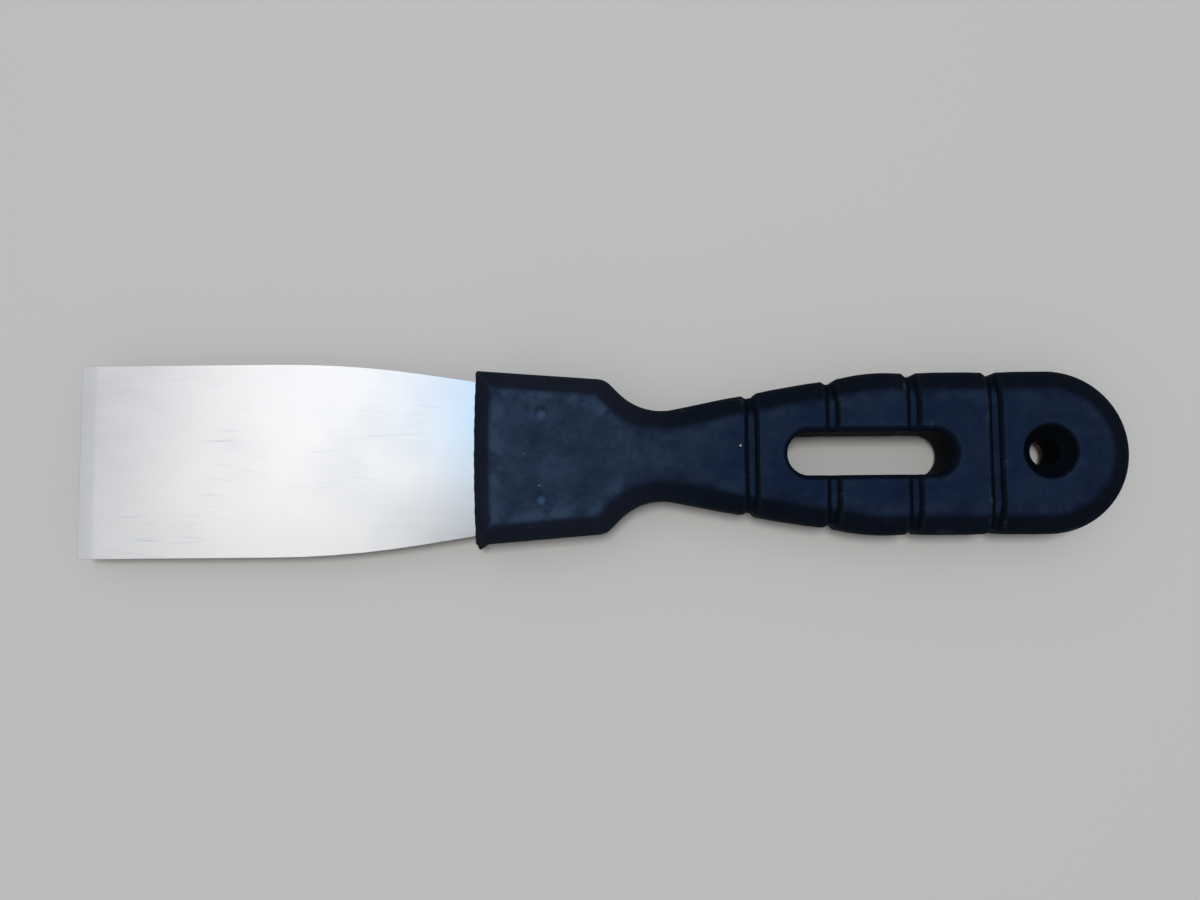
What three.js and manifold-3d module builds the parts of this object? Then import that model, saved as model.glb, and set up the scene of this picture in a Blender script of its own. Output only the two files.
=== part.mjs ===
// Putty knife: a stainless steel blade whose tang is locked inside a one-piece plastic handle.
// Millimetres, +Z up. The knife lies flat on its handle: X runs from the scraping edge to the hanging hole,
// Z = 0 is the handle's lower face, and the origin is under the middle of the knife's length.
// Every piece is drawn with x = 0 at the handle's mouth, where the blade enters it.

import * as THREE from 'three';
import { mergeVertices } from 'three/addons/utils/BufferGeometryUtils.js';
import Module from 'manifold-3d';

const wasm = await Module();
wasm.setup();

// Blade
const bladeWidth = 40;
const bladeThickness = 0.8;
const parallelLength = 56;         // scraping edge to where the side and the flank would meet
const flankLength = 26.5;          // that meeting to the mouth
const mouthWidth = 31.8;           // width of the blade at the mouth
const flankRadius = 200;
const edgeCornerRadius = 0.8;
const grindLength = 1.5;           // how far back the scraping edge is ground
const edgeThickness = 0.35;

// Tang, the end of the blade that is hidden in the handle, with two holes that the plastic passes through
const tangLength = 22;
const tangCornerRadius = 3;
const keyHoleDiameter = 5;
const keyStation = 13.5;           // mouth to the key holes
const keySpacing = 17.1;
const keyEdge = 1.45;              // steel left beside each key hole
const tangGap = 0.3;               // between the tang and its pocket in the handle

// Handle, in order from the mouth to the end
const collarCover = 2;             // plastic beside the blade at the mouth
const tangSideCover = 3.15;        // collar's back corner past the side of the tang's end
const tangEndCover = 4.4;          // and past the tang's end along the knife
const shoulderRun = 7.4;           // collar's back corner to where shoulder and grip would meet
const neckWidth = 16.5;            // width at that meeting; the neck radius leaves the throat wider
const neckRadius = 12;
const neckRun = 21.8;              // that meeting to the first groove
const gripFrontWidth = 25.2;       // width at the first groove
const flareRun = 24.4;             // first groove to where the grip reaches its full width
const gripWidth = 33.1;
const gripRadius = 40;
const handleThickness = 15;

// Edges of the handle
const bevelWidth = 3.6;
const frontBevelWidth = 2.8;
const bevelDrop = 3.3;             // height of the bevel where its slope would meet the side wall
const bevelSideRadius = 3;         // rounding between the bevel and the side wall
const shoulderFaceRadius = 0.5;    // corner of the flat face at the shoulder, inside the bevel

// Grooves round the grip
const grooveCount = 4;
const groovePitch = 16.3;
const grooveMouth = 3;
const grooveFloor = 1.4;
const grooveDepth = 0.8;

// Finger slot through the grip
const slotRun = 7.25;              // first groove to the slot's front end
const slotLength = 33.5;
const slotWidth = 9.4;
const slotRimRadius = 1.2;

// Hanging hole: a dish on each face, then a funnel, then a straight bore
const holeRun = 18.85;             // slot's back end to the hole's axis
const endRun = 17.3;               // hole's axis to the end of the handle
const boreDiameter = 6;
const funnelWidth = 0.7;
const funnelDepth = 1.6;
const dishWidth = 2;
const dishDepth = 2;

// Marks left by the pins that held the tang in the mould, one over each key on both faces
const pinMarkDiameter = 2.4;
const pinMarkDepth = 0.4;

// Drawing accuracy
const chordTolerance = 0.03;       // largest gap between an arc and its straight steps
const roundSteps = 32;             // straight steps round a hole, a key or a mark
const overshoot = 1;               // how far a cutter reaches past the face that it cuts

const exposedLength = parallelLength + flankLength;
const tangEndWidth = keySpacing + keyHoleDiameter + 2 * keyEdge;
const collarLength = tangLength + tangEndCover;
const neckStation = collarLength + shoulderRun;
const firstGrooveStation = neckStation + neckRun;
const slotFront = firstGrooveStation + slotRun;
const slotBack = slotFront + slotLength;
const holeStation = slotBack + holeRun;
const handleLength = holeStation + endRun;
const midHeight = handleThickness / 2;

// Points along straight sides whose corners are rounded by tangent arcs. A radius is limited by its sides.
function roundCorners(corners, closed) {
  const count = corners.length;
  const at = (i) => new THREE.Vector2(corners[(i + count) % count].x, corners[(i + count) % count].y);
  const turns = corners.map((corner, i) => {
    if (!closed && (i === 0 || i === count - 1)) return { angle: 0, reach: 0 };
    const before = at(i).sub(at(i - 1));
    const after = at(i + 1).sub(at(i));
    const angle = Math.atan2(before.cross(after), before.dot(after));
    return { angle, reach: (corner.radius ?? 0) * Math.tan(Math.abs(angle) / 2) };
  });
  const reachOf = (i) => turns[(i + count) % count].reach;
  const points = [];
  corners.forEach((corner, i) => {
    const { angle, reach } = turns[i];
    if (reach === 0) {
      points.push(at(i));
      return;
    }
    const before = at(i).sub(at(i - 1));
    const after = at(i + 1).sub(at(i));
    const room = Math.min(
      1,
      before.length() / (reach + reachOf(i - 1)),
      after.length() / (reach + reachOf(i + 1)),
    );
    const radius = corner.radius * room;
    const side = Math.sign(angle);
    const start = at(i).addScaledVector(before.clone().normalize(), -reach * room);
    const heading = before.angle();
    const leftwards = new THREE.Vector2(-Math.sin(heading), Math.cos(heading));
    const centre = start.addScaledVector(leftwards, side * radius);
    const step = 2 * Math.acos(1 - Math.min(chordTolerance / radius, 0.5));
    const steps = Math.ceil(Math.abs(angle) / step);
    for (let k = 0; k <= steps; k += 1) {
      const turned = heading + (angle * k) / steps - (side * Math.PI) / 2;
      points.push(new THREE.Vector2(Math.cos(turned), Math.sin(turned)).multiplyScalar(radius).add(centre));
    }
  });
  const near = 1e-6;
  return points.filter((point, i) => {
    const next = points[(i + 1) % points.length];
    return (!closed && i === points.length - 1) || point.distanceTo(next) > near;
  });
}

// Left-hand normal of the side from a to b: it points into a loop that runs anticlockwise.
function inwardNormal(a, b) {
  return new THREE.Vector2(a.y - b.y, b.x - a.x).normalize();
}

// Step that moves a corner inwards by one distance from each of its two sides.
function cornerStep(normalBefore, normalAfter, distanceBefore, distanceAfter) {
  if (distanceBefore === distanceAfter) {
    const scale = distanceBefore / (1 + normalBefore.dot(normalAfter));
    return normalBefore.clone().add(normalAfter).multiplyScalar(scale);
  }
  const area = normalBefore.cross(normalAfter);
  return new THREE.Vector2(
    (distanceBefore * normalAfter.y - distanceAfter * normalBefore.y) / area,
    (distanceAfter * normalBefore.x - distanceBefore * normalAfter.x) / area,
  );
}

// Inward steps of every point of an anticlockwise loop; distanceOf gives each side's own distance.
function insetSteps(loop, distanceOf) {
  return loop.map((point, i) => {
    const before = loop[(i + loop.length - 1) % loop.length];
    const after = loop[(i + 1) % loop.length];
    return cornerStep(
      inwardNormal(before, point),
      inwardNormal(point, after),
      distanceOf(before, point),
      distanceOf(point, after),
    );
  });
}

function insetLoop(loop, distance) {
  const steps = insetSteps(loop, () => distance);
  return loop.map((point, i) => point.clone().add(steps[i]));
}

// Closed solid through loops of equally many points: capped at both ends, or joined end to end as a ring.
function loftLoops(loops, joined) {
  const size = loops[0].length;
  const index = [];
  const bands = joined ? loops.length : loops.length - 1;
  for (let band = 0; band < bands; band += 1) {
    const low = band * size;
    const high = ((band + 1) % loops.length) * size;
    for (let i = 0; i < size; i += 1) {
      const next = (i + 1) % size;
      index.push(low + i, low + next, high + next, low + i, high + next, high + i);
    }
  }
  if (!joined) {
    const top = (loops.length - 1) * size;
    const flat = (loop) => loop.map((point) => new THREE.Vector2(point.x, point.y));
    const capOf = (loop) => THREE.ShapeUtils.triangulateShape(flat(loop), []);
    capOf(loops[0]).forEach(([a, b, c]) => index.push(a, c, b));
    capOf(loops[loops.length - 1]).forEach(([a, b, c]) => index.push(top + a, top + b, top + c));
  }
  const geometry = new THREE.BufferGeometry().setFromPoints(loops.flat());
  geometry.setIndex(index);
  return geometry;
}

// Solid for cutting and joining, from a closed geometry.
function solidOf(geometry) {
  const bare = geometry.clone();
  bare.deleteAttribute('normal');
  bare.deleteAttribute('uv');
  const merged = mergeVertices(bare);
  return new wasm.Manifold(new wasm.Mesh({
    numProp: 3,
    vertProperties: new Float32Array(merged.attributes.position.array),
    triVerts: new Uint32Array(merged.index.array),
  }));
}

function geometryOf(solid) {
  const mesh = solid.getMesh();
  const geometry = new THREE.BufferGeometry();
  geometry.setAttribute('position', new THREE.BufferAttribute(new Float32Array(mesh.vertProperties), 3));
  geometry.setIndex(new THREE.BufferAttribute(new Uint32Array(mesh.triVerts), 1));
  geometry.computeVertexNormals();
  return geometry;
}

// Full closed outline from the corners of its upper half, front to back, mirrored in the long axis.
function mirroredOutline(upperCorners) {
  const lower = upperCorners.map((corner) => ({ ...corner, y: -corner.y }));
  return roundCorners([...lower, ...upperCorners.toReversed()], true);
}

// Places of the two tang keys, on either side of the long axis.
const keyPlaces = [-1, 1].map((side) => new THREE.Vector2(keyStation, (side * keySpacing) / 2));

// Blade: outline of the sheet, tang included.
function bladeOutline() {
  return mirroredOutline([
    { x: -exposedLength, y: bladeWidth / 2, radius: edgeCornerRadius },
    { x: -flankLength, y: bladeWidth / 2, radius: flankRadius },
    { x: 0, y: mouthWidth / 2 },
    { x: tangLength, y: tangEndWidth / 2, radius: tangCornerRadius },
  ]);
}

// Flat sheet of the blade, grown on every side to make its pocket in the handle.
function bladeSheet(growth) {
  const shape = new THREE.Shape(insetLoop(bladeOutline(), -growth));
  keyPlaces.forEach((place) => {
    const hole = new THREE.Path();
    hole.absarc(place.x, place.y, keyHoleDiameter / 2 - growth, 0, 2 * Math.PI, true);
    shape.holes.push(hole);
  });
  const depth = bladeThickness + 2 * growth;
  const options = { depth, bevelEnabled: false, curveSegments: roundSteps / 2 };
  return new THREE.ExtrudeGeometry(shape, options).translate(0, 0, midHeight - depth / 2);
}

// Wedge that grinds one face of the scraping edge; side is 1 for the upper face and -1 for the lower one.
function grindWedge(side) {
  const half = bladeThickness / 2;
  const rise = (half - edgeThickness / 2) / grindLength;
  const section = new THREE.Shape([
    new THREE.Vector2(-overshoot, edgeThickness / 2 - rise * overshoot),
    new THREE.Vector2(grindLength, half),
    new THREE.Vector2(grindLength, half + overshoot),
    new THREE.Vector2(-overshoot, half + overshoot),
  ]);
  const depth = bladeWidth + 2 * overshoot;
  const geometry = new THREE.ExtrudeGeometry(section, { depth, bevelEnabled: false });
  geometry.translate(-exposedLength, 0, -depth / 2).rotateX((side * Math.PI) / 2);
  return geometry.translate(0, 0, midHeight);
}

function bladeGeometry() {
  const ground = [1, -1].reduce(
    (sheet, side) => sheet.subtract(solidOf(grindWedge(side))),
    solidOf(bladeSheet(0)),
  );
  return geometryOf(ground);
}

// Handle: silhouette at its widest height.
function handleOutline() {
  const gripHalf = gripWidth / 2;
  return mirroredOutline([
    { x: 0, y: mouthWidth / 2 + collarCover },
    { x: collarLength, y: tangEndWidth / 2 + tangSideCover, radius: bevelWidth + shoulderFaceRadius },
    { x: neckStation, y: neckWidth / 2, radius: neckRadius },
    { x: firstGrooveStation, y: gripFrontWidth / 2, radius: gripRadius },
    { x: firstGrooveStation + flareRun, y: gripHalf, radius: gripRadius },
    { x: handleLength, y: gripHalf, radius: gripHalf },
  ]);
}

// Edge of the handle in section, from the flat face to the side wall: x is the inset, y the drop.
function edgeProfile() {
  const path = roundCorners([
    { x: bevelWidth, y: 0 },
    { x: 0, y: bevelDrop, radius: bevelSideRadius },
    { x: 0, y: midHeight },
  ], false);
  return path.slice(0, -1);
}

function handleBody() {
  const outline = handleOutline();
  const onFront = (a, b) => a.x === 0 && b.x === 0;
  const steps = insetSteps(outline, (a, b) => (onFront(a, b) ? frontBevelWidth : bevelWidth));
  const loopAt = (inset, z) => outline.map((point, i) => {
    const moved = point.clone().addScaledVector(steps[i], inset / bevelWidth);
    return new THREE.Vector3(moved.x, moved.y, z);
  });
  const profile = edgeProfile();
  const lower = profile.map((point) => loopAt(point.x, point.y));
  const upper = profile.toReversed().map((point) => loopAt(point.x, handleThickness - point.y));
  return loftLoops([...lower, ...upper], false);
}

// Half width of the handle's silhouette at a station, and how far its slope stretches a width across it.
function flankAt(station) {
  const upper = handleOutline().filter((point) => point.y > 0).sort((a, b) => a.x - b.x);
  const k = upper.findIndex((point) => point.x >= station);
  const [a, b] = [upper[k - 1], upper[k]];
  const slope = (b.y - a.y) / (b.x - a.x);
  return { half: a.y + slope * (station - a.x), stretch: Math.hypot(1, slope) };
}

// Section of the handle across a station, moved inwards by depth, as a loop seen along the knife.
function handleSection(station, depth) {
  const { half, stretch } = flankAt(station);
  const profile = edgeProfile();
  const faceNormal = new THREE.Vector2(0, 1);
  const sideNormal = new THREE.Vector2(1, 0);
  const quarter = profile.map((point, i) => {
    const before = i === 0 ? faceNormal : inwardNormal(point, profile[i - 1]);
    const after = i === profile.length - 1 ? sideNormal : inwardNormal(profile[i + 1], point);
    return point.clone().add(cornerStep(before, after, depth, depth));
  });
  const corner = (side, top) => (point) => new THREE.Vector3(
    station,
    side * (half - point.x * stretch),
    top ? handleThickness - point.y : point.y,
  );
  return [
    ...quarter.toReversed().map(corner(1, true)),
    ...quarter.map(corner(-1, true)),
    ...quarter.toReversed().map(corner(-1, false)),
    ...quarter.map(corner(1, false)),
  ];
}

const grooveStations = Array.from({ length: grooveCount }, (_, i) => firstGrooveStation + i * groovePitch);

// Ring that cuts one groove, with sloping walls and a flat floor, right round the grip.
function grooveRing(station) {
  const wallSlope = (grooveMouth - grooveFloor) / 2 / grooveDepth;
  const outerHalf = grooveMouth / 2 + wallSlope * overshoot;
  const floorHalf = grooveFloor / 2;
  return loftLoops([
    handleSection(station + outerHalf, -overshoot),
    handleSection(station + floorHalf, grooveDepth),
    handleSection(station - floorHalf, grooveDepth),
    handleSection(station - outerHalf, -overshoot),
  ], true);
}

// Finger slot with rounded rims on both faces.
function fingerSlot() {
  const half = slotWidth / 2;
  const wall = mirroredOutline([slotFront, slotBack].map((x) => ({ x, y: half, radius: half })));
  const rim = roundCorners([
    { x: 2 * slotRimRadius, y: 0 },
    { x: 0, y: 0, radius: slotRimRadius },
    { x: 0, y: midHeight },
  ], false).slice(1, -1);
  const loopAt = (flare, z) => insetLoop(wall, -flare).map(({ x, y }) => new THREE.Vector3(x, y, z));
  return loftLoops([
    loopAt(slotRimRadius, -overshoot),
    ...rim.map((point) => loopAt(point.x, point.y)),
    ...rim.toReversed().map((point) => loopAt(point.x, handleThickness - point.y)),
    loopAt(slotRimRadius, handleThickness + overshoot),
  ], false);
}

// Hanging hole: a dish and a funnel on each face, with a straight bore between them.
function hangingHole() {
  const boreRadius = boreDiameter / 2;
  const funnelRadius = boreRadius + funnelWidth;
  const dishRadius = funnelRadius + dishWidth;
  const dish = [
    [dishRadius, -overshoot],
    [dishRadius, 0],
    [funnelRadius, dishDepth],
    [boreRadius, dishDepth + funnelDepth],
  ];
  const lower = dish.map(([radius, z]) => new THREE.Vector2(radius, z));
  const upper = dish.toReversed().map(([radius, z]) => new THREE.Vector2(radius, handleThickness - z));
  const ends = [-overshoot, handleThickness + overshoot].map((z) => new THREE.Vector2(0, z));
  const geometry = new THREE.LatheGeometry([ends[0], ...lower, ...upper, ends[1]], roundSteps);
  return geometry.rotateX(Math.PI / 2).translate(holeStation, 0, 0);
}

// Ball that dents a face over one key.
function pinMark(place, top) {
  const radius = (pinMarkDiameter ** 2 / 4 + pinMarkDepth ** 2) / (2 * pinMarkDepth);
  const z = top ? handleThickness + radius - pinMarkDepth : pinMarkDepth - radius;
  return new THREE.SphereGeometry(radius, roundSteps, roundSteps).translate(place.x, place.y, z);
}

function handleGeometry() {
  const cutters = [
    ...grooveStations.map(grooveRing),
    fingerSlot(),
    hangingHole(),
    ...keyPlaces.flatMap((place) => [pinMark(place, true), pinMark(place, false)]),
    bladeSheet(tangGap),
  ];
  const cut = (solid, cutter) => solid.subtract(solidOf(cutter));
  return geometryOf(cutters.reduce(cut, solidOf(handleBody())));
}

const steel = new THREE.MeshStandardMaterial({ color: 0xd3d6d9, metalness: 1, roughness: 0.3 });
const blackPlastic = new THREE.MeshStandardMaterial({ color: 0x1a212c, metalness: 0, roughness: 0.5 });

const blade = new THREE.Mesh(bladeGeometry(), steel);
blade.name = 'blade';
const handle = new THREE.Mesh(handleGeometry(), blackPlastic);
handle.name = 'handle';

const knife = new THREE.Group();
knife.add(blade, handle);
knife.position.x = (exposedLength - handleLength) / 2;

export default knife;
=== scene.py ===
import math

import bmesh
import bpy
import numpy as np
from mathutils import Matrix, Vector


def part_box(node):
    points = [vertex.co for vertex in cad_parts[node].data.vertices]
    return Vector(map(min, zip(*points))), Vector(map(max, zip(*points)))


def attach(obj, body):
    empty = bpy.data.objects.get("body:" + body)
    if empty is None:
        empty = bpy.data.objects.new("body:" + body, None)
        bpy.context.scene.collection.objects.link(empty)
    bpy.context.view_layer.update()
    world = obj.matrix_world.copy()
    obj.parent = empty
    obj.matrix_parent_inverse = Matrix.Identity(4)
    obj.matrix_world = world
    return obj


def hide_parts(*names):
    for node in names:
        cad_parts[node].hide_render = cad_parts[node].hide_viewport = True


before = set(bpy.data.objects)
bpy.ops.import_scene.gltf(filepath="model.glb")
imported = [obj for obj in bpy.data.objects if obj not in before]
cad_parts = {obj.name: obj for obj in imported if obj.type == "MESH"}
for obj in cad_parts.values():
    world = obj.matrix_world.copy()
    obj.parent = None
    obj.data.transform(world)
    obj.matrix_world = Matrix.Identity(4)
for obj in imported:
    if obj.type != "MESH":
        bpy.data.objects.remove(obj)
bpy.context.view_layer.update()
print("frame loaded:", ", ".join(sorted(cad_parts)))

# Places and sizes that the frame gives. Pieces are worked out in millimetres, along the knife from
# the handle's mouth (station), across it and up from the sheet's mid plane.
mm = 0.001
tiny = 1e-6
bladeLow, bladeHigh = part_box("blade")
handleLow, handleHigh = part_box("handle")
mouthX = handleLow.x
midZ = (handleLow.z + handleHigh.z) / 2
handleLength = (handleHigh.x - mouthX) / mm
handleHalf = (handleHigh.z - handleLow.z) / 2 / mm
mouthHalf = (handleHigh.y - handleLow.y) / 2 / mm
bladeReach = (mouthX - bladeLow.x) / mm  # steel in front of the mouth
tangLength = (bladeHigh.x - mouthX) / mm  # steel behind it
bladeHalf = (bladeHigh.y - bladeLow.y) / 2 / mm
sheetHalf = (bladeHigh.z - bladeLow.z) / 2 / mm


class Wire:  # one socket of a node tree; arithmetic on it adds Math nodes
    def __init__(self, board, socket):
        self.board = board
        self.socket = socket

    def maths(self, operation, first, second):
        return self.board.add("ShaderNodeMath", {"operation": operation}, {0: first, 1: second})

    def __add__(self, other):
        return self.maths("ADD", self, other)

    def __radd__(self, other):
        return self.maths("ADD", other, self)

    def __sub__(self, other):
        return self.maths("SUBTRACT", self, other)

    def __rsub__(self, other):
        return self.maths("SUBTRACT", other, self)

    def __mul__(self, other):
        return self.maths("MULTIPLY", self, other)

    def __rmul__(self, other):
        return self.maths("MULTIPLY", other, self)

    def __truediv__(self, other):
        return self.maths("DIVIDE", self, other)

    def __rtruediv__(self, other):
        return self.maths("DIVIDE", other, self)

    def __lt__(self, other):
        return self.maths("LESS_THAN", self, other)

    def __gt__(self, other):  # also what a number < socket calls
        return self.maths("GREATER_THAN", self, other)

    def atLeast(self, other):
        return self.maths("MAXIMUM", self, other)

    def size(self):
        return self.maths("ABSOLUTE", self, 0)


class Board:  # the node tree of one finish
    def __init__(self, tree):
        self.tree = tree

    def add(self, kind, settings=None, inputs=None, output=0):
        node = self.tree.nodes.new(kind)
        for name, value in (settings or {}).items():
            setattr(node, name, value)
        self.feed(node, inputs or {})
        return Wire(self, node.outputs[output])

    def feed(self, node, inputs):
        for key, value in inputs.items():
            if isinstance(value, Wire):
                self.tree.links.new(value.socket, node.inputs[key])
            else:
                node.inputs[key].default_value = value

    def ease(self, value, low, high):  # 0 at low, 1 at high, smooth between
        limits = {"Value": value, "From Min": low, "From Max": high}
        return self.add("ShaderNodeMapRange", {"interpolation_type": "SMOOTHSTEP"}, limits)

    def mix(self, factor, first, second):
        return self.add("ShaderNodeMix", {"data_type": "RGBA"}, {0: factor, 6: first, 7: second}, 2)

    def noise(self, place, size, detail=2.0, roughness=0.5, turn=0.0):  # size in millimetres, one or three
        size = size if isinstance(size, tuple) else (size, size, size)
        inputs = {"Vector": self.stretch(place, size, turn), "Scale": 1.0, "Detail": detail}
        return self.add("ShaderNodeTexNoise", None, {**inputs, "Roughness": roughness})

    def stretch(self, place, size, turn=0.0):  # size of one cell in millimetres, turned about the upright
        scale = [mm * part for part in size]
        inputs = {"Vector": place, "Scale": scale, "Rotation": (0, 0, math.radians(turn))}
        return self.add("ShaderNodeMapping", {"vector_type": "TEXTURE"}, inputs)

    def objectPlace(self):
        return self.add("ShaderNodeTexCoord", output="Object")

    def attribute(self, name):
        return self.add("ShaderNodeAttribute", {"attribute_name": name}, output="Fac")

    def parts(self, vector):
        return [self.add("ShaderNodeSeparateXYZ", None, {0: vector}, axis) for axis in range(3)]

    def levelness(self):  # 1 on faces that look straight up or down, 0 on walls
        return self.parts(self.add("ShaderNodeTexCoord", output="Normal"))[2].size()

    def scratches(self, place, kinds, soft=0.04):  # thin streaks: size, turn and cut of each kind
        streaks = 0
        for size, turn, cut in kinds:
            noise = self.noise(place, size, detail=0.0, turn=turn)
            streaks = streaks + self.ease(noise, cut, cut + soft)
        return streaks

    def specks(self, place, spacing, radius, share, core=0.4):  # small dots, in a share of the cells
        cell = {"Vector": self.stretch(place, (spacing, spacing, spacing)), "Scale": 1.0}
        near = self.add("ShaderNodeTexVoronoi", None, cell, "Distance")
        pick = self.parts(self.add("ShaderNodeTexVoronoi", None, cell, "Color"))[0]
        rim = radius / spacing
        return self.ease(near, rim, rim * core) * (pick < share)

    def bump(self, height, distance):
        return self.add("ShaderNodeBump", None, {"Strength": 1.0, "Distance": distance, "Height": height})


def newFinish(name):
    material = bpy.data.materials.new(name)
    material.use_nodes = True
    return material, Board(material.node_tree), material.node_tree.nodes["Principled BSDF"]


def colour(red, green, blue):
    return (red, green, blue, 1.0)


# Outlines seen from above: half of each is a chain of straight runs and arcs, mirrored across the knife

def outlineRuns(corners):  # corners are (station, half width, rounding)
    runs = []
    start = np.array(corners[0][:2], float)
    for corner, after in zip(corners[1:], corners[2:]):
        point = np.array(corner[:2], float)
        ahead = np.array(after[:2], float) - point
        behind = point - start
        ahead /= np.linalg.norm(ahead)
        behind /= np.linalg.norm(behind)
        turn = math.atan2(behind[0] * ahead[1] - behind[1] * ahead[0], behind @ ahead)
        cut = corner[2] * math.tan(abs(turn) / 2)
        arcStart = point - behind * cut
        arcEnd = point + ahead * cut
        runs.append({"from": start, "to": arcStart})
        if corner[2] > 0:
            inward = np.array((-behind[1], behind[0])) * math.copysign(1, turn)
            arc = {"turn": turn, "centre": arcStart + inward * corner[2], "radius": corner[2]}
            runs.append({"from": arcStart, "to": arcEnd, **arc})
        start = arcEnd
    end = np.array(corners[-1][:2], float)
    if np.linalg.norm(end - start) > tiny:
        runs.append({"from": start, "to": end})
    return runs


def outlineDistance(runs, u, v):  # minus inside, plus outside; the outside lies to the left of the chain
    u, v = np.broadcast_arrays(u, v)
    nearest = np.full(u.shape, np.inf)
    signed = np.zeros(u.shape)
    for run in runs:
        if "turn" in run:
            fromCentre = (u - run["centre"][0], v - run["centre"][1])
            spread = np.hypot(*fromCentre)
            middle = (run["from"] + run["to"]) / 2 - run["centre"]
            middle /= np.linalg.norm(middle)
            along = fromCentre[0] * middle[0] + fromCentre[1] * middle[1]
            inSector = along >= spread * math.cos(run["turn"] / 2) - tiny
            value = (run["radius"] - spread) * math.copysign(1, run["turn"])
            reach = np.where(inSector, np.abs(value), np.inf)
        else:
            step = run["to"] - run["from"]
            length = np.linalg.norm(step)
            step = step / length
            du = u - run["from"][0]
            dv = v - run["from"][1]
            value = step[0] * dv - step[1] * du
            beyond = du * step[0] + dv * step[1]
            beyond = beyond - np.clip(beyond, 0, length)
            reach = np.hypot(value, beyond)
        closer = reach < nearest
        nearest = np.where(closer, reach, nearest)
        signed = np.where(closer, np.copysign(reach, value), signed)
    return signed


def outlinePoints(runs, stepAngle):  # the chain as points, arcs in equal steps
    points = [runs[0]["from"]]
    for run in runs:
        if "turn" in run:
            first = run["from"] - run["centre"]
            steps = max(2, math.ceil(abs(run["turn"]) / stepAngle))
            for i in range(1, steps):
                angle = run["turn"] * i / steps
                c = math.cos(angle)
                s = math.sin(angle)
                points.append(run["centre"] + (c * first[0] - s * first[1], s * first[0] + c * first[1]))
        points.append(run["to"])
    return points


def ease(value):  # 0 below 0, 1 above 1, smooth between
    value = np.clip(value, 0, 1)
    return value * value * (3 - 2 * value)


def softMax(a, b, blend):  # the larger of two fields, rounded where they meet
    overlap = np.maximum(blend - np.abs(a - b), 0) / blend
    return np.maximum(a, b) + overlap * overlap * blend / 4


def ripple(waves, a, b):  # sines multiplied, from -1 to 1; each wave is its two rates and its start
    value = 1.0
    for rateA, rateB, start in waves:
        value = value * np.sin(rateA * a + rateB * b + start)
    return value


sheet = {
    "flank": 26.5,  # the sides draw in over this length
    "mouthWidth": 31.8,
    "flankRound": 200.0,
    "tipRound": 0.8,
    "tangEndWidth": 25.0,
    "tangRound": 3.0,
    "keyStation": 13.5,
    "keySpacing": 17.1,
    "keyHole": 5.0,
    "grind": 3.4,  # length of the ground edge, which curves into the faces
    "grindSteps": 12,
    "edge": 0.35,  # thickness left at the edge
    "burr": 0.07,  # rounding of the sheared sides
    "burrSteps": 2,
    "arcStep": 2.0,  # degrees from point to point on the outline's arcs
    "keySides": 48,
    "weld": 0.001,  # points closer than this are one
    "snap": 0.0001,  # points this close to a cut lie on it
    "flatFrom": 0.95,  # faces that look up or down at least this much stay flat
}
bladeRuns = outlineRuns([
    (-bladeReach, 0, 0),
    (-bladeReach, bladeHalf, sheet["tipRound"]),
    (-sheet["flank"], bladeHalf, sheet["flankRound"]),
    (0, sheet["mouthWidth"] / 2, 0),
    (tangLength, sheet["tangEndWidth"] / 2, sheet["tangRound"]),
    (tangLength, 0, 0),
])

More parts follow.
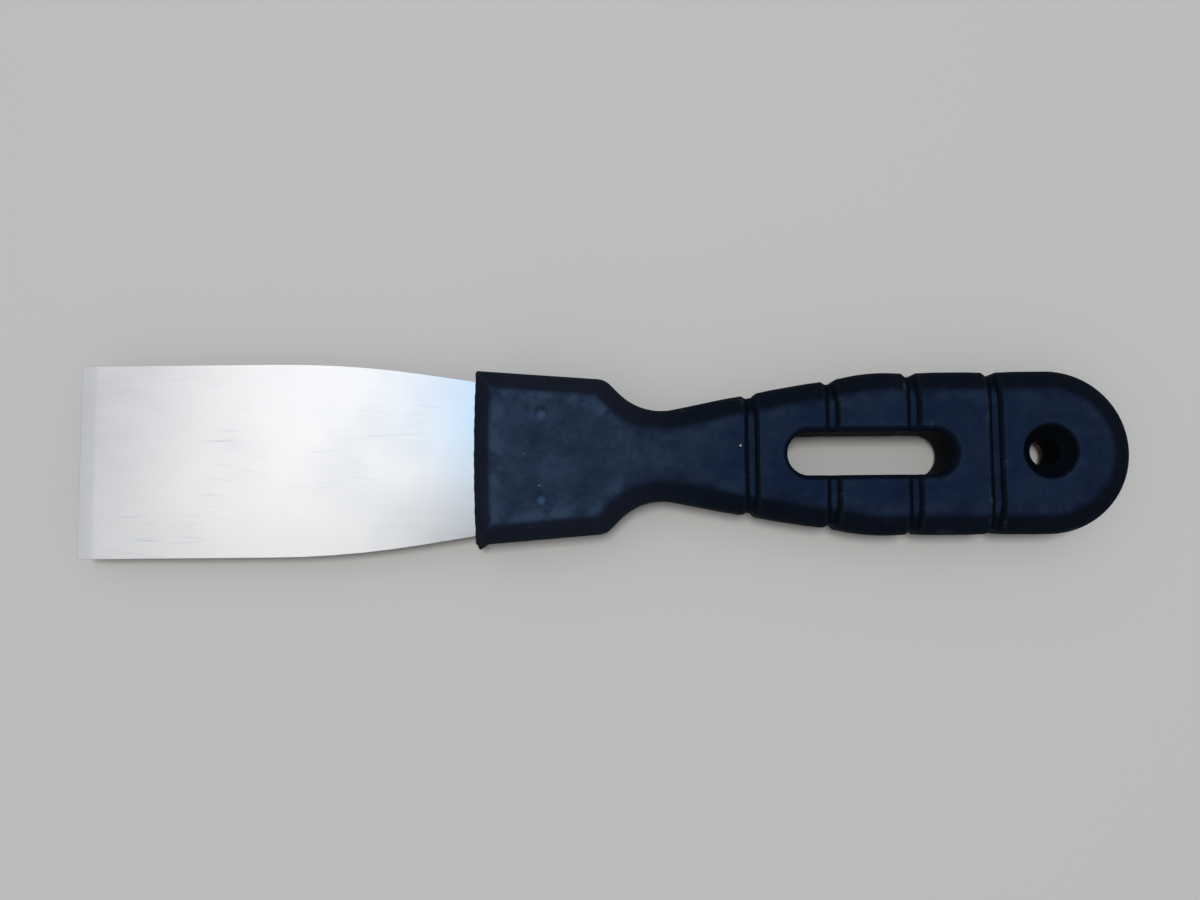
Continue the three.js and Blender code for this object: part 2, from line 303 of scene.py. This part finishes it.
moulding = {
    "ahead": 10.0,  # the outline runs on past the mouth, which is cut square later
    "collar": 26.4,
    "collarEndWidth": 31.7,
    "collarRound": 4.1,
    "shoulder": 7.4,  # from the collar's corner to the neck's
    "neckWidth": 16.5,
    "neckRound": 12.0,
    "neck": 21.8,
    "gripFrontWidth": 25.2,
    "flare": 24.4,
    "gripWidth": 33.3,
    "gripRound": 40.0,
    "bevel": 3.6,  # sloped border of both faces, seen from above
    "endBevel": 1.5,  # the border grows by this towards the round end
    "frontBevel": 3.2,
    "bevelDrop": 3.3,
    "sideBlend": 1.0,
    "faceBlend": 1.3,
    "neckBlend": 3.4,  # the neck's border fades more softly
    "neckSoftest": 5.45,  # most of all this far behind the neck's corner
    "neckFade": 9.0,
    "gripBlend": 1.5,  # and so does the grip's
    "gripFade": 6.0,
    "frontBlend": 0.5,
    "sink": 0.25,  # the faces sink towards the middle
    "sinkRun": 7.0,
    "wallInset": 0.08,  # room for the parting line inside the CAD box
    "flash": 0.06,
    "flashWidth": 0.14,
    "flashVary": 0.3,
    "flashWaves": ((0.55, 0.3, 0.0), (1.7, -0.9, 1.0)),
    "nib": 1.0,  # spur of flash at one corner of the mouth
    "nibStation": 0.5,
    "nibReach": 1.7,
    "nibThick": 0.8,
    "mouthBulge": 0.45,
    "mouthUneven": 0.07,
    "mouthWaves": ((1.9, 0.9, 0.5), (0.8, -0.4, -1.0)),
    "grooves": 4,
    "groovePitch": 16.3,
    "grooveMouth": 3.5,
    "grooveFloor": 0.95,
    "grooveDepth": 0.72,
    "lip": 0.1,  # the blocks fall away a little towards each groove
    "lipRun": 3.5,
    "slotFront": 7.25,  # from the first groove
    "slotLength": 33.5,
    "slotWidth": 8.7,
    "slotRim": 1.7,
    "hole": 17.3,  # from the round end
    "bore": 3.0,
    "boreLip": 1.5,
    "ledge": 0.9,  # flat ring round the bore, at the bottom of the dish
    "dish": 1.8,
    "dishDepth": 2.5,
    "dishFillet": 0.6,
    "dishRim": 0.35,
    "pinRadius": 1.2,
    "pinDepth": 0.31,
    "pinRim": 0.4,
    "pinLight": 0.45,  # the painted highlight in each pin mark lies off its middle, towards minus Y
    "pinLightReach": 1.26,
    "pinLightFade": 0.9,
    "marginPlace": 1.2,  # painted sheen strip inside the border of each face
    "marginWidth": 1.3,
    "marginFade": 0.7,  # it loses this much behind the collar
    "edgeReach": 0.45,  # how wide an edge or a corner counts
    "seamGap": 0.06,  # plastic to steel
    "seamRim": 0.12,
    "coarse": 0.5,  # mesh spacing on plain stretches
    "fine": 0.24,  # and across grooves and the mouth
    "fineMore": 1.0,  # which goes on this far past them
    "across": 0.46,
    "rise": 0.42,
    "seam": 0.12,  # beside the parting line and the tang
    "seamReach": 0.75,
    "around": 0.8,  # the mesh's grid stands this far outside the handle
    "settleRounds": 4,  # how often points are pulled onto the surface, and how gently
    "settleStep": 0.01,
    "settleSlope": 0.05,
    "settleMost": 0.2,
    "normalStep": 0.03,
}
neckStation = moulding["collar"] + moulding["shoulder"]
gripStation = neckStation + moulding["neck"]
wideStation = gripStation + moulding["flare"]
grooveStations = [gripStation + moulding["groovePitch"] * i for i in range(moulding["grooves"])]
slotMiddle = gripStation + moulding["slotFront"] + moulding["slotLength"] / 2
holeStation = handleLength - moulding["hole"]
holeMouth = moulding["bore"] + moulding["ledge"] + moulding["dish"]
collarLean = (mouthHalf - moulding["collarEndWidth"] / 2) / moulding["collar"]
handleRuns = outlineRuns([
    (-moulding["ahead"], mouthHalf + moulding["ahead"] * collarLean, 0),
    (moulding["collar"], moulding["collarEndWidth"] / 2, moulding["collarRound"]),
    (neckStation, moulding["neckWidth"] / 2, moulding["neckRound"]),
    (gripStation, moulding["gripFrontWidth"] / 2, moulding["gripRound"]),
    (wideStation, moulding["gripWidth"] / 2, moulding["gripRound"]),
    (handleLength, moulding["gripWidth"] / 2, moulding["gripWidth"] / 2),
    (handleLength, 0, 0),
])


# The handle's shape as fields, minus in plastic and plus in air. A cut is plus where it takes plastic out.

def slope(side, rise, run):  # plane of a sloped border
    drop = moulding["bevelDrop"]
    return (side * drop + (rise - handleHalf + drop) * run) / np.hypot(run, drop)


def flashAt(u, v, w):  # the thin ridge that the two mould halves leave, uneven along its length
    uneven = 1 - moulding["flashVary"] * (1 - ripple(moulding["flashWaves"], u, v))
    ridge = moulding["flash"] * uneven * np.exp(-(w / moulding["flashWidth"]) ** 2)
    nib = np.clip(1 - np.abs(u - moulding["nibStation"]) / moulding["nibReach"], 0, 1) * (v < 0)
    return ridge + moulding["nib"] * nib * np.exp(-(w / moulding["nibThick"]) ** 2)


def mouthFront(u, v, w, rise):  # the bowed, slightly uneven front and its sloped border
    ahead = -u - moulding["mouthBulge"] * np.clip(1 - (v / mouthHalf) ** 2, 0, 1)
    uneven = moulding["mouthUneven"] * ripple(moulding["mouthWaves"], v, w)
    border = slope(ahead, rise, moulding["frontBevel"])
    return softMax(ahead - uneven, border, moulding["frontBlend"])


def faceBlend(u):  # how softly the faces run into their borders
    nearNeck = np.exp(-((u - neckStation - moulding["neckSoftest"]) / moulding["neckFade"]) ** 2)
    onGrip = ease((u - gripStation) / moulding["gripFade"] + 0.5)
    return moulding["faceBlend"] + moulding["neckBlend"] * nearNeck + moulding["gripBlend"] * onGrip


def grooveDepth(u):  # all the grooves, with the blocks' lips beside them
    half = moulding["grooveMouth"] / 2
    wallRun = half - moulding["grooveFloor"] / 2
    depth = 0.0
    for station in grooveStations:
        away = np.abs(u - station)
        depth = depth + moulding["grooveDepth"] * ease((half - away) / wallRun)
        depth = depth + moulding["lip"] * ease(1 - (away - half) / moulding["lipRun"])
    return depth


def fingerSlot(u, v):
    half = moulding["slotWidth"] / 2
    ends = np.maximum(np.abs(u - slotMiddle) - moulding["slotLength"] / 2 + half, 0)
    return half - np.hypot(ends, v)


def hangingHole(u, v, rise):  # the cuts of the dish and of the bore
    away = np.hypot(u - holeStation, v)
    depth = handleHalf - rise
    lean = moulding["dish"] / moulding["dishDepth"]
    wall = (holeMouth - lean * depth - away) / math.hypot(1, lean)
    dish = -softMax(-wall, depth - moulding["dishDepth"], moulding["dishFillet"])
    return dish, moulding["bore"] - away


def fromKey(u, v):  # distance from the nearer key, seen from above
    return np.hypot(u - sheet["keyStation"], np.abs(v) - sheet["keySpacing"] / 2)


def pinMark(u, v, rise):  # a shallow ball pressed into the face over each key
    ball = (moulding["pinRadius"] ** 2 + moulding["pinDepth"] ** 2) / (2 * moulding["pinDepth"])
    return ball - np.hypot(fromKey(u, v), rise - handleHalf + moulding["sink"] - ball + moulding["pinDepth"])


def bladePocket(u, v, w):  # the room that the tang fills, less the two keys through it
    gap = moulding["seamGap"]
    plan = outlineDistance(bladeRuns, u, np.abs(v)) - gap
    pocket = np.maximum(plan, np.abs(w) - sheetHalf - gap)
    return -np.maximum(pocket, sheet["keyHole"] / 2 - gap - fromKey(u, v))


def handleField(u, v, w):
    side = outlineDistance(handleRuns, u, np.abs(v))
    rise = np.abs(w)
    flash = flashAt(u, v, w)
    bevel = moulding["bevel"] + moulding["endBevel"] * ease((u - holeStation) / moulding["hole"])
    body = softMax(side + moulding["wallInset"] - flash, slope(side, rise, bevel), moulding["sideBlend"])
    body = softMax(body, mouthFront(u, v, w, rise), moulding["frontBlend"])
    sink = moulding["sink"] * ease((-side - moulding["bevel"]) / moulding["sinkRun"])
    body = softMax(body, rise - handleHalf + sink, faceBlend(u)) + grooveDepth(u)
    body = softMax(body, fingerSlot(u, v) - flash, moulding["slotRim"])
    dish, bore = hangingHole(u, v, rise)
    body = softMax(body, dish, moulding["dishRim"])
    body = softMax(body, bore - flash, moulding["boreLip"])
    body = softMax(body, pinMark(u, v, rise), moulding["pinRim"])
    return softMax(body, bladePocket(u, v, w), moulding["seamRim"])


def gridLine(low, high, coarse, fine, spots, reach):  # positions that lie closer together near the spots
    line = [low]
    while line[-1] < high:
        near = min(abs(line[-1] - spot) for spot in spots) < reach
        line.append(line[-1] + (fine if near else coarse))
    return np.array(line)


def surfaceNet(field, lines):  # a point in each cell that the surface crosses, a face on each crossed edge
    inside = field < 0
    cells = tuple(n - 1 for n in field.shape)
    total = np.zeros(cells + (3,))
    count = np.zeros(cells)
    crossings = []
    for axis in range(3):
        low = [slice(None)] * 3
        high = [slice(None)] * 3
        low[axis] = slice(None, -1)
        high[axis] = slice(1, None)
        a = field[tuple(low)]
        b = field[tuple(high)]
        crossed = inside[tuple(low)] != inside[tuple(high)]
        part = np.where(crossed, a / np.where(crossed, a - b, 1), 0)
        shape = [1, 1, 1]
        shape[axis] = -1
        along = lines[axis][:-1].reshape(shape) + part * np.diff(lines[axis]).reshape(shape)
        others = [k for k in range(3) if k != axis]
        for i in (0, 1):
            for j in (0, 1):
                pick = [slice(None)] * 3
                pick[others[0]] = slice(i, field.shape[others[0]] - 1 + i)
                pick[others[1]] = slice(j, field.shape[others[1]] - 1 + j)
                hit = crossed[tuple(pick)]
                count += hit
                total[..., axis] += np.where(hit, along[tuple(pick)], 0)
                for other, shift in zip(others, (i, j)):
                    spread = [1, 1, 1]
                    spread[other] = -1
                    place = lines[other][shift:len(lines[other]) - 1 + shift].reshape(spread)
                    total[..., other] += np.where(hit, place, 0)
        crossings.append((crossed, inside[tuple(low)], others))
    active = count > 0
    number = np.full(cells, -1)
    number[active] = np.arange(active.sum())
    points = total[active] / count[active][:, None]
    faces = []
    for axis, (crossed, leaving, others) in enumerate(crossings):
        at = np.argwhere(crossed)
        ring = []
        for i, j in ((-1, -1), (0, -1), (0, 0), (-1, 0)):
            cell = at.copy()
            cell[:, others[0]] += i
            cell[:, others[1]] += j
            ring.append(number[tuple(cell.T)])
        ring = np.stack(ring, 1)
        flip = leaving[crossed] == (axis == 1)
        ring[flip] = ring[flip][:, ::-1]
        faces.append(ring)
    return points, np.concatenate(faces)


def fieldSlope(field, points, step):
    slopes = np.empty_like(points)
    for axis in range(3):
        shift = np.zeros(3)
        shift[axis] = step
        ahead = field(*(points + shift).T)
        behind = field(*(points - shift).T)
        slopes[:, axis] = (ahead - behind) / (2 * step)
    return slopes


def meshPiece(name, points, faces):
    mesh = bpy.data.meshes.new(name)
    mesh.from_pydata(points.tolist(), [], faces.tolist())
    piece = bpy.data.objects.new(name, mesh)
    bpy.context.scene.collection.objects.link(piece)
    return piece


def toFrame(points):  # millimetres by station to metres in the row's frame
    return points * mm + np.array((mouthX, 0, midZ))


def pointValues(mesh, name, values):
    layer = mesh.attributes.new(name, "FLOAT", "POINT")
    layer.data.foreach_set("value", values.astype(np.float32))


def faceMargin(u, v):  # where a painted sheen goes: 1 just inside the border of a face, most of all on the collar
    inward = -outlineDistance(handleRuns, u, np.abs(v)) - moulding["bevel"]
    inward = np.minimum(inward, u - moulding["frontBevel"])
    onCollar = 1 - moulding["marginFade"] * ease((u - moulding["collar"]) / moulding["shoulder"])
    return onCollar * np.exp(-((inward - moulding["marginPlace"]) / moulding["marginWidth"]) ** 2)


def handleGrid():
    around = moulding["around"]
    across = moulding["across"]
    seam = moulding["seam"]
    fineReach = moulding["grooveMouth"] / 2 + moulding["fineMore"]
    spots = grooveStations + [0.0]
    along = gridLine(-around, handleLength + around, moulding["coarse"], moulding["fine"], spots, fineReach)
    half = gridLine(across / 2, mouthHalf + around, across, across, [0], 0)
    up = gridLine(seam / 2, handleHalf + around, moulding["rise"], seam, [0], moulding["seamReach"])
    return along, np.concatenate((-half[::-1], half)), np.concatenate((-up[::-1], up))


def buildHandle():
    lines = handleGrid()
    field = handleField(lines[0][:, None, None], lines[1][None, :, None], lines[2][None, None, :])
    points, faces = surfaceNet(field, lines)
    most = moulding["settleMost"]
    for _ in range(moulding["settleRounds"]):  # settle the points on the surface
        slopes = fieldSlope(handleField, points, moulding["settleStep"])
        move = handleField(*points.T) / np.maximum((slopes ** 2).sum(1), moulding["settleSlope"])
        points = points - slopes * np.clip(move, -most, most)[:, None]
    normals = fieldSlope(handleField, points, moulding["normalStep"])
    normals /= np.linalg.norm(normals, axis=1)[:, None]
    reach = moulding["edgeReach"]
    steps = [sign * reach * axis for axis in np.eye(3) for sign in (-1, 1)]
    bend = sum(handleField(*(points + step).T) for step in steps) / reach ** 2
    piece = meshPiece("handleMoulding", toFrame(points), faces)
    mesh = piece.data
    mesh.polygons.foreach_set("use_smooth", np.ones(len(faces), bool))
    mesh.normals_split_custom_set_from_vertices(normals.tolist())
    u, v = points[:, :2].T
    # mask of painted shade: concave creases and the hanging hole
    holeShade = ease((holeMouth - np.hypot(u - holeStation, v)) / moulding["dishFillet"])
    pointValues(mesh, "edge", np.clip(bend, 0, 1))
    pointValues(mesh, "hollowShade", np.maximum(np.clip(-bend, 0, 1), holeShade))
    pointValues(mesh, "marginLight", faceMargin(u, v))
    # painted highlight on one side of each pin mark
    fromSpot = fromKey(u, v + moulding["pinLight"])
    pointValues(mesh, "pinLightSpot", ease((moulding["pinLightReach"] - fromSpot) / moulding["pinLightFade"]))
    print("handle moulding:", len(points), "points,", len(faces), "faces")
    return piece


def bladeLoops():  # the sheet's outline and its two key holes, as rings of points
    half = [tuple(point) for point in outlinePoints(bladeRuns, math.radians(sheet["arcStep"]))][1:-1]
    loops = [half + [(u, -v) for u, v in half[::-1]]]
    turns = np.linspace(0, 2 * math.pi, sheet["keySides"], endpoint=False)
    for side in (-1, 1):
        middle = np.array((sheet["keyStation"], side * sheet["keySpacing"] / 2))
        loops.append([middle + sheet["keyHole"] / 2 * np.array((math.cos(a), math.sin(a))) for a in turns])
    return loops


def bladeBlank():  # the stamped sheet before its edge is ground, in millimetres
    curve = bpy.data.curves.new("bladeOutline", "CURVE")
    curve.dimensions = "2D"
    curve.fill_mode = "BOTH"
    curve.extrude = sheetHalf - sheet["burr"]
    curve.bevel_depth = sheet["burr"]
    curve.bevel_resolution = sheet["burrSteps"]
    curve.offset = -sheet["burr"]
    for loop in bladeLoops():
        spline = curve.splines.new("POLY")
        spline.points.add(len(loop) - 1)
        spline.use_cyclic_u = True
        for point, (u, v) in zip(spline.points, loop):
            point.co = (u, v, 0, 1)
    drawn = bpy.data.objects.new("bladeOutline", curve)
    bpy.context.scene.collection.objects.link(drawn)
    bpy.context.view_layer.update()
    mesh = bpy.data.meshes.new_from_object(drawn.evaluated_get(bpy.context.evaluated_depsgraph_get()))
    bpy.data.objects.remove(drawn)
    return mesh


def buildBlade():
    mesh = bladeBlank()
    shape = bmesh.new()
    shape.from_mesh(mesh)
    bmesh.ops.remove_doubles(shape, verts=shape.verts, dist=sheet["weld"])
    for step in range(1, sheet["grindSteps"] + 1):
        everything = shape.verts[:] + shape.edges[:] + shape.faces[:]
        cut = (sheet["grind"] * step / sheet["grindSteps"] - bladeReach, 0, 0)
        bmesh.ops.bisect_plane(shape, geom=everything, dist=sheet["snap"], plane_co=cut, plane_no=(1, 0, 0))
    thin = sheet["edge"] / (2 * sheetHalf)
    for vert in shape.verts:
        back = min((vert.co.x + bladeReach) / sheet["grind"], 1)
        vert.co.z *= 1 - (1 - thin) * (1 - back) ** 2
        vert.co = toFrame(np.array(vert.co))
    bmesh.ops.recalc_face_normals(shape, faces=shape.faces)
    openEdges = sum(not edge.is_manifold for edge in shape.edges)
    shape.to_mesh(mesh)
    shape.free()
    piece = bpy.data.objects.new("bladeSheet", mesh)
    bpy.context.scene.collection.objects.link(piece)
    rounded = [abs(face.normal.z) < sheet["flatFrom"] for face in mesh.polygons]
    mesh.polygons.foreach_set("use_smooth", rounded)
    print("blade sheet:", len(mesh.vertices), "points,", len(rounded), "faces,", openEdges, "open edges")
    return piece


plasticLook = {
    "paintedBorderShade": colour(0.0016, 0.0032, 0.0074),  # painted shade on the sloped borders and walls
    "collarBorderShade": colour(0.0060, 0.0078, 0.0140),  # painted shade of the collar's border, lifted by painted sheen
    "inside": colour(0.0005, 0.0013, 0.0026),  # painted shade in creases, the grooves' corners and the hanging hole
    "face": colour(0.0029, 0.0082, 0.0228),
    "hazeAndSheen": colour(0.0220, 0.0385, 0.0660),  # where hands and benches have rubbed it, and painted sheen on the collar and along face borders
    "wearAndPinLight": colour(0.045, 0.085, 0.165),  # painted highlight in each pin mark
    # colour of scuffs, and of the painted glints on edges
    "scuffAndGlint": colour(0.045, 0.060, 0.085),
    "dust": colour(0.55, 0.55, 0.53),
    "level": (0.90, 0.997),  # from border to face, by how much it looks up
    "sheenStation": 44.0,  # the collar is painted lighter, as a sheen, up to about here
    "sheenFade": 20.0,
    "cloud": (11, 4, 0.6),  # size in millimetres, detail and roughness of each noise
    "patch": (5, 3, 0.55),
    "mottle": (1.5, 3, 0.6),
    "grain": (0.38, 2),
    "rubbed": (0.32, 0.72),
    "rubbedShares": (0.34, 0.34, 0.32),  # of cloud, patch and mottle
    "faceHaze": 0.29,
    "collarSheen": (0.26, 0.36),  # painted sheen on the collar: everywhere, and where it is rubbed
    "wallHaze": 0.08,  # share of the haze on walls and borders
    "marginSheen": 0.6,
    "marginPatch": (0.36, 0.62),
    "edgeHaze": 0.12,
    "insideDark": 0.9,
    "insideLevel": 0.55,  # level floors of hollows darken less by this
    "pinLight": (0.25, 0.5),  # strength of the pin marks' painted highlight: everywhere, and by the mottle
    "glintPatch": (0.60, 0.68),  # convex edges get painted glints where these noises are high
    "glintMottle": (0.68, 0.74),
    "glintTint": 0.25,
    "scuffs": [((9, 0.4, 3), 38, 0.78), ((11, 0.4, 3), -63, 0.79), ((14, 0.4, 3), 5, 0.75)],
    "scuffPatch": (0.45, 0.62),
    "scuffTint": 0.09,
    "coarseDust": (7, 0.26, 0.15),  # spacing, radius and share
    "fineDust": (3, 0.10, 0.04),
    "dustTint": 0.9,
    "roughness": 0.48,
    "roughVary": 0.10,
    "edgePolish": 0.08,
    "wallRough": 0.3,
    "gloss": 0.05,
    "grainHeight": 0.6,  # shares of the bump
    "mottleHeight": 0.9,
    "scuffDepth": 0.5,
    "bump": 0.012,  # millimetres
}


def mouldedPlastic():
    look = plasticLook
    material, board, shader = newFinish("mouldedPlastic")
    place = board.objectPlace()
    edge = board.attribute("edge")
    hollowShade = board.attribute("hollowShade")
    marginLight = board.attribute("marginLight")
    pinLightSpot = board.attribute("pinLightSpot")
    level = board.ease(board.levelness(), *look["level"])
    # painted sheen: the collar is made lighter up to this station
    sheenEnd = mouthX + look["sheenStation"] * mm
    fade = look["sheenFade"] * mm
    onCollar = board.ease(board.parts(place)[0], sheenEnd + fade, sheenEnd - fade)
    cloud = board.noise(place, *look["cloud"])
    patch = board.noise(place, *look["patch"])
    mottle = board.noise(place, *look["mottle"])
    grain = board.noise(place, *look["grain"])
    cloudShare, patchShare, mottleShare = look["rubbedShares"]
    rubbed = board.ease(cloudShare * cloud + patchShare * patch + mottleShare * mottle, *look["rubbed"])
    scuffs = board.scratches(place, look["scuffs"]) * board.ease(patch, *look["scuffPatch"]) * level
    # painted glints along convex edges
    edgeGlints = edge * (board.ease(patch, *look["glintPatch"]) + board.ease(mottle, *look["glintMottle"]))
    dust = board.specks(place, *look["coarseDust"]) + board.specks(place, *look["fineDust"])
    collarSheen, collarRubSheen = look["collarSheen"]
    # partly rubbed haze, partly painted sheen, kept mostly to level faces
    hazeAndSheenMask = rubbed * (look["faceHaze"] + collarRubSheen * onCollar) + collarSheen * onCollar
    # painted sheen along the inside of each face's border
    hazeAndSheenMask = hazeAndSheenMask + marginLight * look["marginSheen"] * board.ease(patch, *look["marginPatch"])
    hazeAndSheenMask = hazeAndSheenMask * (look["wallHaze"] + (1 - look["wallHaze"]) * level)
    pinLightLeast, pinLightMottle = look["pinLight"]
    # painted shade: borders and walls that look less straight up are darker than the faces, less so on the
    # collar
    border = board.mix(onCollar * onCollar * onCollar, look["paintedBorderShade"], look["collarBorderShade"])
    tone = board.mix(level, border, look["face"])
    # painted shade in hollows, less on their level floors
    tone = board.mix(hollowShade * (look["insideDark"] - look["insideLevel"] * level), tone, look["inside"])
    tone = board.mix(hazeAndSheenMask, tone, look["hazeAndSheen"])
    # painted highlight in the pin marks
    tone = board.mix(pinLightSpot * (pinLightLeast + pinLightMottle * mottle), tone, look["wearAndPinLight"])
    tone = board.mix(edge * look["edgeHaze"] * cloud, tone, look["hazeAndSheen"])
    tone = board.mix(edgeGlints * look["glintTint"], tone, look["scuffAndGlint"])
    tone = board.mix(scuffs * look["scuffTint"], tone, look["scuffAndGlint"])
    tone = board.mix(dust * look["dustTint"], tone, look["dust"])
    rough = look["roughness"] + look["roughVary"] * (rubbed - 0.5) + look["roughVary"] * (grain - 0.5)
    rough = rough - look["edgePolish"] * edge + look["wallRough"] * (1 - level)
    height = look["grainHeight"] * grain + look["mottleHeight"] * mottle - look["scuffDepth"] * scuffs
    board.feed(shader, {
        "Base Color": tone,
        "Roughness": rough,
        "Normal": board.bump(height, look["bump"] * mm),
        "Specular IOR Level": look["gloss"],
    })
    return material


steelLook = {
    "bright": colour(0.775, 0.78, 0.79),
    "dull": colour(0.75, 0.755, 0.765),
    "sheared": colour(0.42, 0.42, 0.43),
    "stain": colour(0.16, 0.16, 0.19),
    "level": (0.80, 0.97),  # from sheared side to face, by how much it looks up
    "wearAndPinLight": (-50.0, -100.0),  # scraping wear grows from here to the edge, in millimetres from the middle
    "brushed": ((40, 0.17, 2), 2, 0.6),  # size in millimetres, detail and roughness of each noise
    "mottle": ((9, 4, 6), 4, 0.6),
    "smudge": (20, 3, 0.55),
    "fineMarks": [((17, 0.5, 9), 3, 0.73), ((14, 0.45, 9), -7, 0.74)],
    "crossMarks": [((10, 0.5, 9), 58, 0.79), ((12, 0.5, 9), 14, 0.76)],
    "crossShare": 0.6,
    "unwornMarks": 0.3,  # share of the marks where the blade hardly scrapes
    "markSmudge": (0.42, 0.62),
    "markTint": 0.11,
    "stains": (16, 0.30, 0.16),  # spacing, radius and share
    "stainTint": 0.8,
    "shine": (0.35, 0.65),  # from dull to bright
    "shineShares": (0.35, 0.65),  # of brushing and mottle
    "roughness": 0.16,
    "brushRough": 0.05,
    "mottleRough": 0.12,
    "smudgeRough": 0.05,
    "smudgeRange": (0.45, 0.7),
    "shearRough": 0.2,
    "markRough": 0.10,
    "stainRough": 0.3,
    "bump": 0.0012,  # millimetres
}


def satinSteel():
    look = steelLook
    material, board, shader = newFinish("satinSteel")
    place = board.objectPlace()
    level = board.ease(board.levelness(), *look["level"])
    wornFrom, wornTo = look["wearAndPinLight"]
    wearAndPinLight = board.ease(board.parts(place)[0], wornFrom * mm, wornTo * mm)
    brushed = board.noise(place, *look["brushed"])
    mottle = board.noise(place, *look["mottle"])
    smudge = board.noise(place, *look["smudge"])
    fine = board.scratches(place, look["fineMarks"])
    cross = board.scratches(place, look["crossMarks"])
    wear = look["unwornMarks"] + (1 - look["unwornMarks"]) * wearAndPinLight
    marks = (fine + look["crossShare"] * cross) * board.ease(smudge, *look["markSmudge"]) * wear
    stains = board.specks(place, *look["stains"]) * level
    brushShare, mottleShare = look["shineShares"]
    shine = board.ease(brushShare * brushed + mottleShare * mottle, *look["shine"])
    tone = board.mix(shine, look["dull"], look["bright"])
    tone = board.mix(marks * look["markTint"], tone, look["sheared"])
    tone = board.mix(1 - level, tone, look["sheared"])
    tone = board.mix(stains * look["stainTint"], tone, look["stain"])
    rough = look["roughness"] + look["brushRough"] * (brushed - 0.5) + look["mottleRough"] * (mottle - 0.5)
    rough = rough + look["smudgeRough"] * board.ease(smudge, *look["smudgeRange"])
    rough = rough + look["shearRough"] * (1 - level) + look["markRough"] * marks + look["stainRough"] * stains
    board.feed(shader, {
        "Base Color": tone,
        "Roughness": rough,
        "Metallic": 1.0,
        "Normal": board.bump(brushed, look["bump"] * mm),
    })
    return material


handlePiece = buildHandle()
handlePiece.data.materials.append(mouldedPlastic())
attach(handlePiece, "root")
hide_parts("handle")

bladePiece = buildBlade()
bladePiece.data.materials.append(satinSteel())
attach(bladePiece, "root")
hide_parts("blade")

floorLook = {
    "size": 8.0,
    "shade": colour(0.50, 0.485, 0.46),
    "roughness": 0.8,
    "gloss": 0.15,
    "below": 0.05,  # millimetres under the knife
}


def buildFloor():
    reach = floorLook["size"] / 2
    level = -floorLook["below"] * mm
    corners = ((-1, -1), (1, -1), (1, 1), (-1, 1))
    points = np.array([(x * reach, y * reach, level) for x, y in corners])
    floor = meshPiece("floor", points, np.array([[0, 1, 2, 3]]))
    material, board, shader = newFinish("palePaper")
    board.feed(shader, {
        "Base Color": floorLook["shade"],
        "Roughness": floorLook["roughness"],
        "Specular IOR Level": floorLook["gloss"],
    })
    floor.data.materials.append(material)
    print("floor laid")


buildFloor()

studio = {
    "horizon": colour(0.20, 0.20, 0.21),
    "dome": colour(0.43, 0.445, 0.47),
    "domeRise": 0.5,
    "lowest": 0.02,  # panels reach down to here, as a share of straight up
    "panels": [  # soft boxes overhead: middle, half size and soft border as slopes away from straight up
        {"middle": (-0.75, 0.10), "half": (0.25, 0.60), "soft": (0.20, 0.30),
         "glow": colour(0.66, 0.67, 0.69)},
        {"middle": (-0.32, -0.30), "half": (0.09, 0.33), "soft": (0.11, 0.05),
         "glow": colour(1.04, 1.03, 1.01)},
        {"middle": (-0.25, 0.42), "half": (0.09, 0.38), "soft": (0.19, 0.06),
         "glow": colour(1.29, 1.28, 1.28)},
        {"middle": (0.07, 0.46), "half": (0.20, 0.38), "soft": (0.06, 0.05),
         "glow": colour(0.60, 0.99, 1.36)},
        {"middle": (0.10, -0.33), "half": (0.22, 0.33), "soft": (0.09, 0.06),
         "glow": colour(0.34, 0.35, 0.39)},
    ],
    "keyPlace": (-0.03, 0.09, 1.0),
    "keySize": 0.2,
    "keyPower": 5.2,
}


def buildLight():
    world = bpy.data.worlds.new("studio")
    bpy.context.scene.world = world
    world.use_nodes = True
    board = Board(world.node_tree)
    x, y, z = board.parts(board.add("ShaderNodeTexCoord", output="Generated"))
    up = z.atLeast(studio["lowest"])
    leans = (x / up, y / up)
    light = board.mix(board.ease(z, 0, studio["domeRise"]), studio["horizon"], studio["dome"])
    for panel in studio["panels"]:
        mask = 1
        for lean, middle, half, soft in zip(leans, panel["middle"], panel["half"], panel["soft"]):
            mask = mask * board.ease((lean - middle).size(), half + soft, half)
        light = board.mix(mask, light, panel["glow"])
    board.feed(world.node_tree.nodes["Background"], {"Color": light})
    lamp = bpy.data.lights.new("key", "AREA")
    lamp.size = studio["keySize"]
    lamp.energy = studio["keyPower"]
    key = bpy.data.objects.new("key", lamp)
    key.location = studio["keyPlace"]
    key.rotation_euler = (-key.location).to_track_quat("-Z", "Y").to_euler()
    key.visible_glossy = False  # the soft boxes are what the steel shows
    bpy.context.scene.collection.objects.link(key)
    print("studio light set")


buildLight()

photoView = {
    "place": (0.001088, -0.013559, 0.213792),
    "turn": (4.189, 0.284, -0.519),  # degrees, from looking straight down
    "lens": 30.0,
    "sensor": 36.0,
    "nearest": 0.01,
}


def buildCamera():
    data = bpy.data.cameras.new("photoView")
    data.lens = photoView["lens"]
    data.sensor_width = photoView["sensor"]
    data.clip_start = photoView["nearest"]
    camera = bpy.data.objects.new("photoView", data)
    camera.location = photoView["place"]
    camera.rotation_euler = [math.radians(a) for a in photoView["turn"]]
    bpy.context.scene.collection.objects.link(camera)
    bpy.context.scene.camera = camera
    bpy.context.scene.view_settings.view_transform = "Standard"
    print("camera set")


buildCamera()
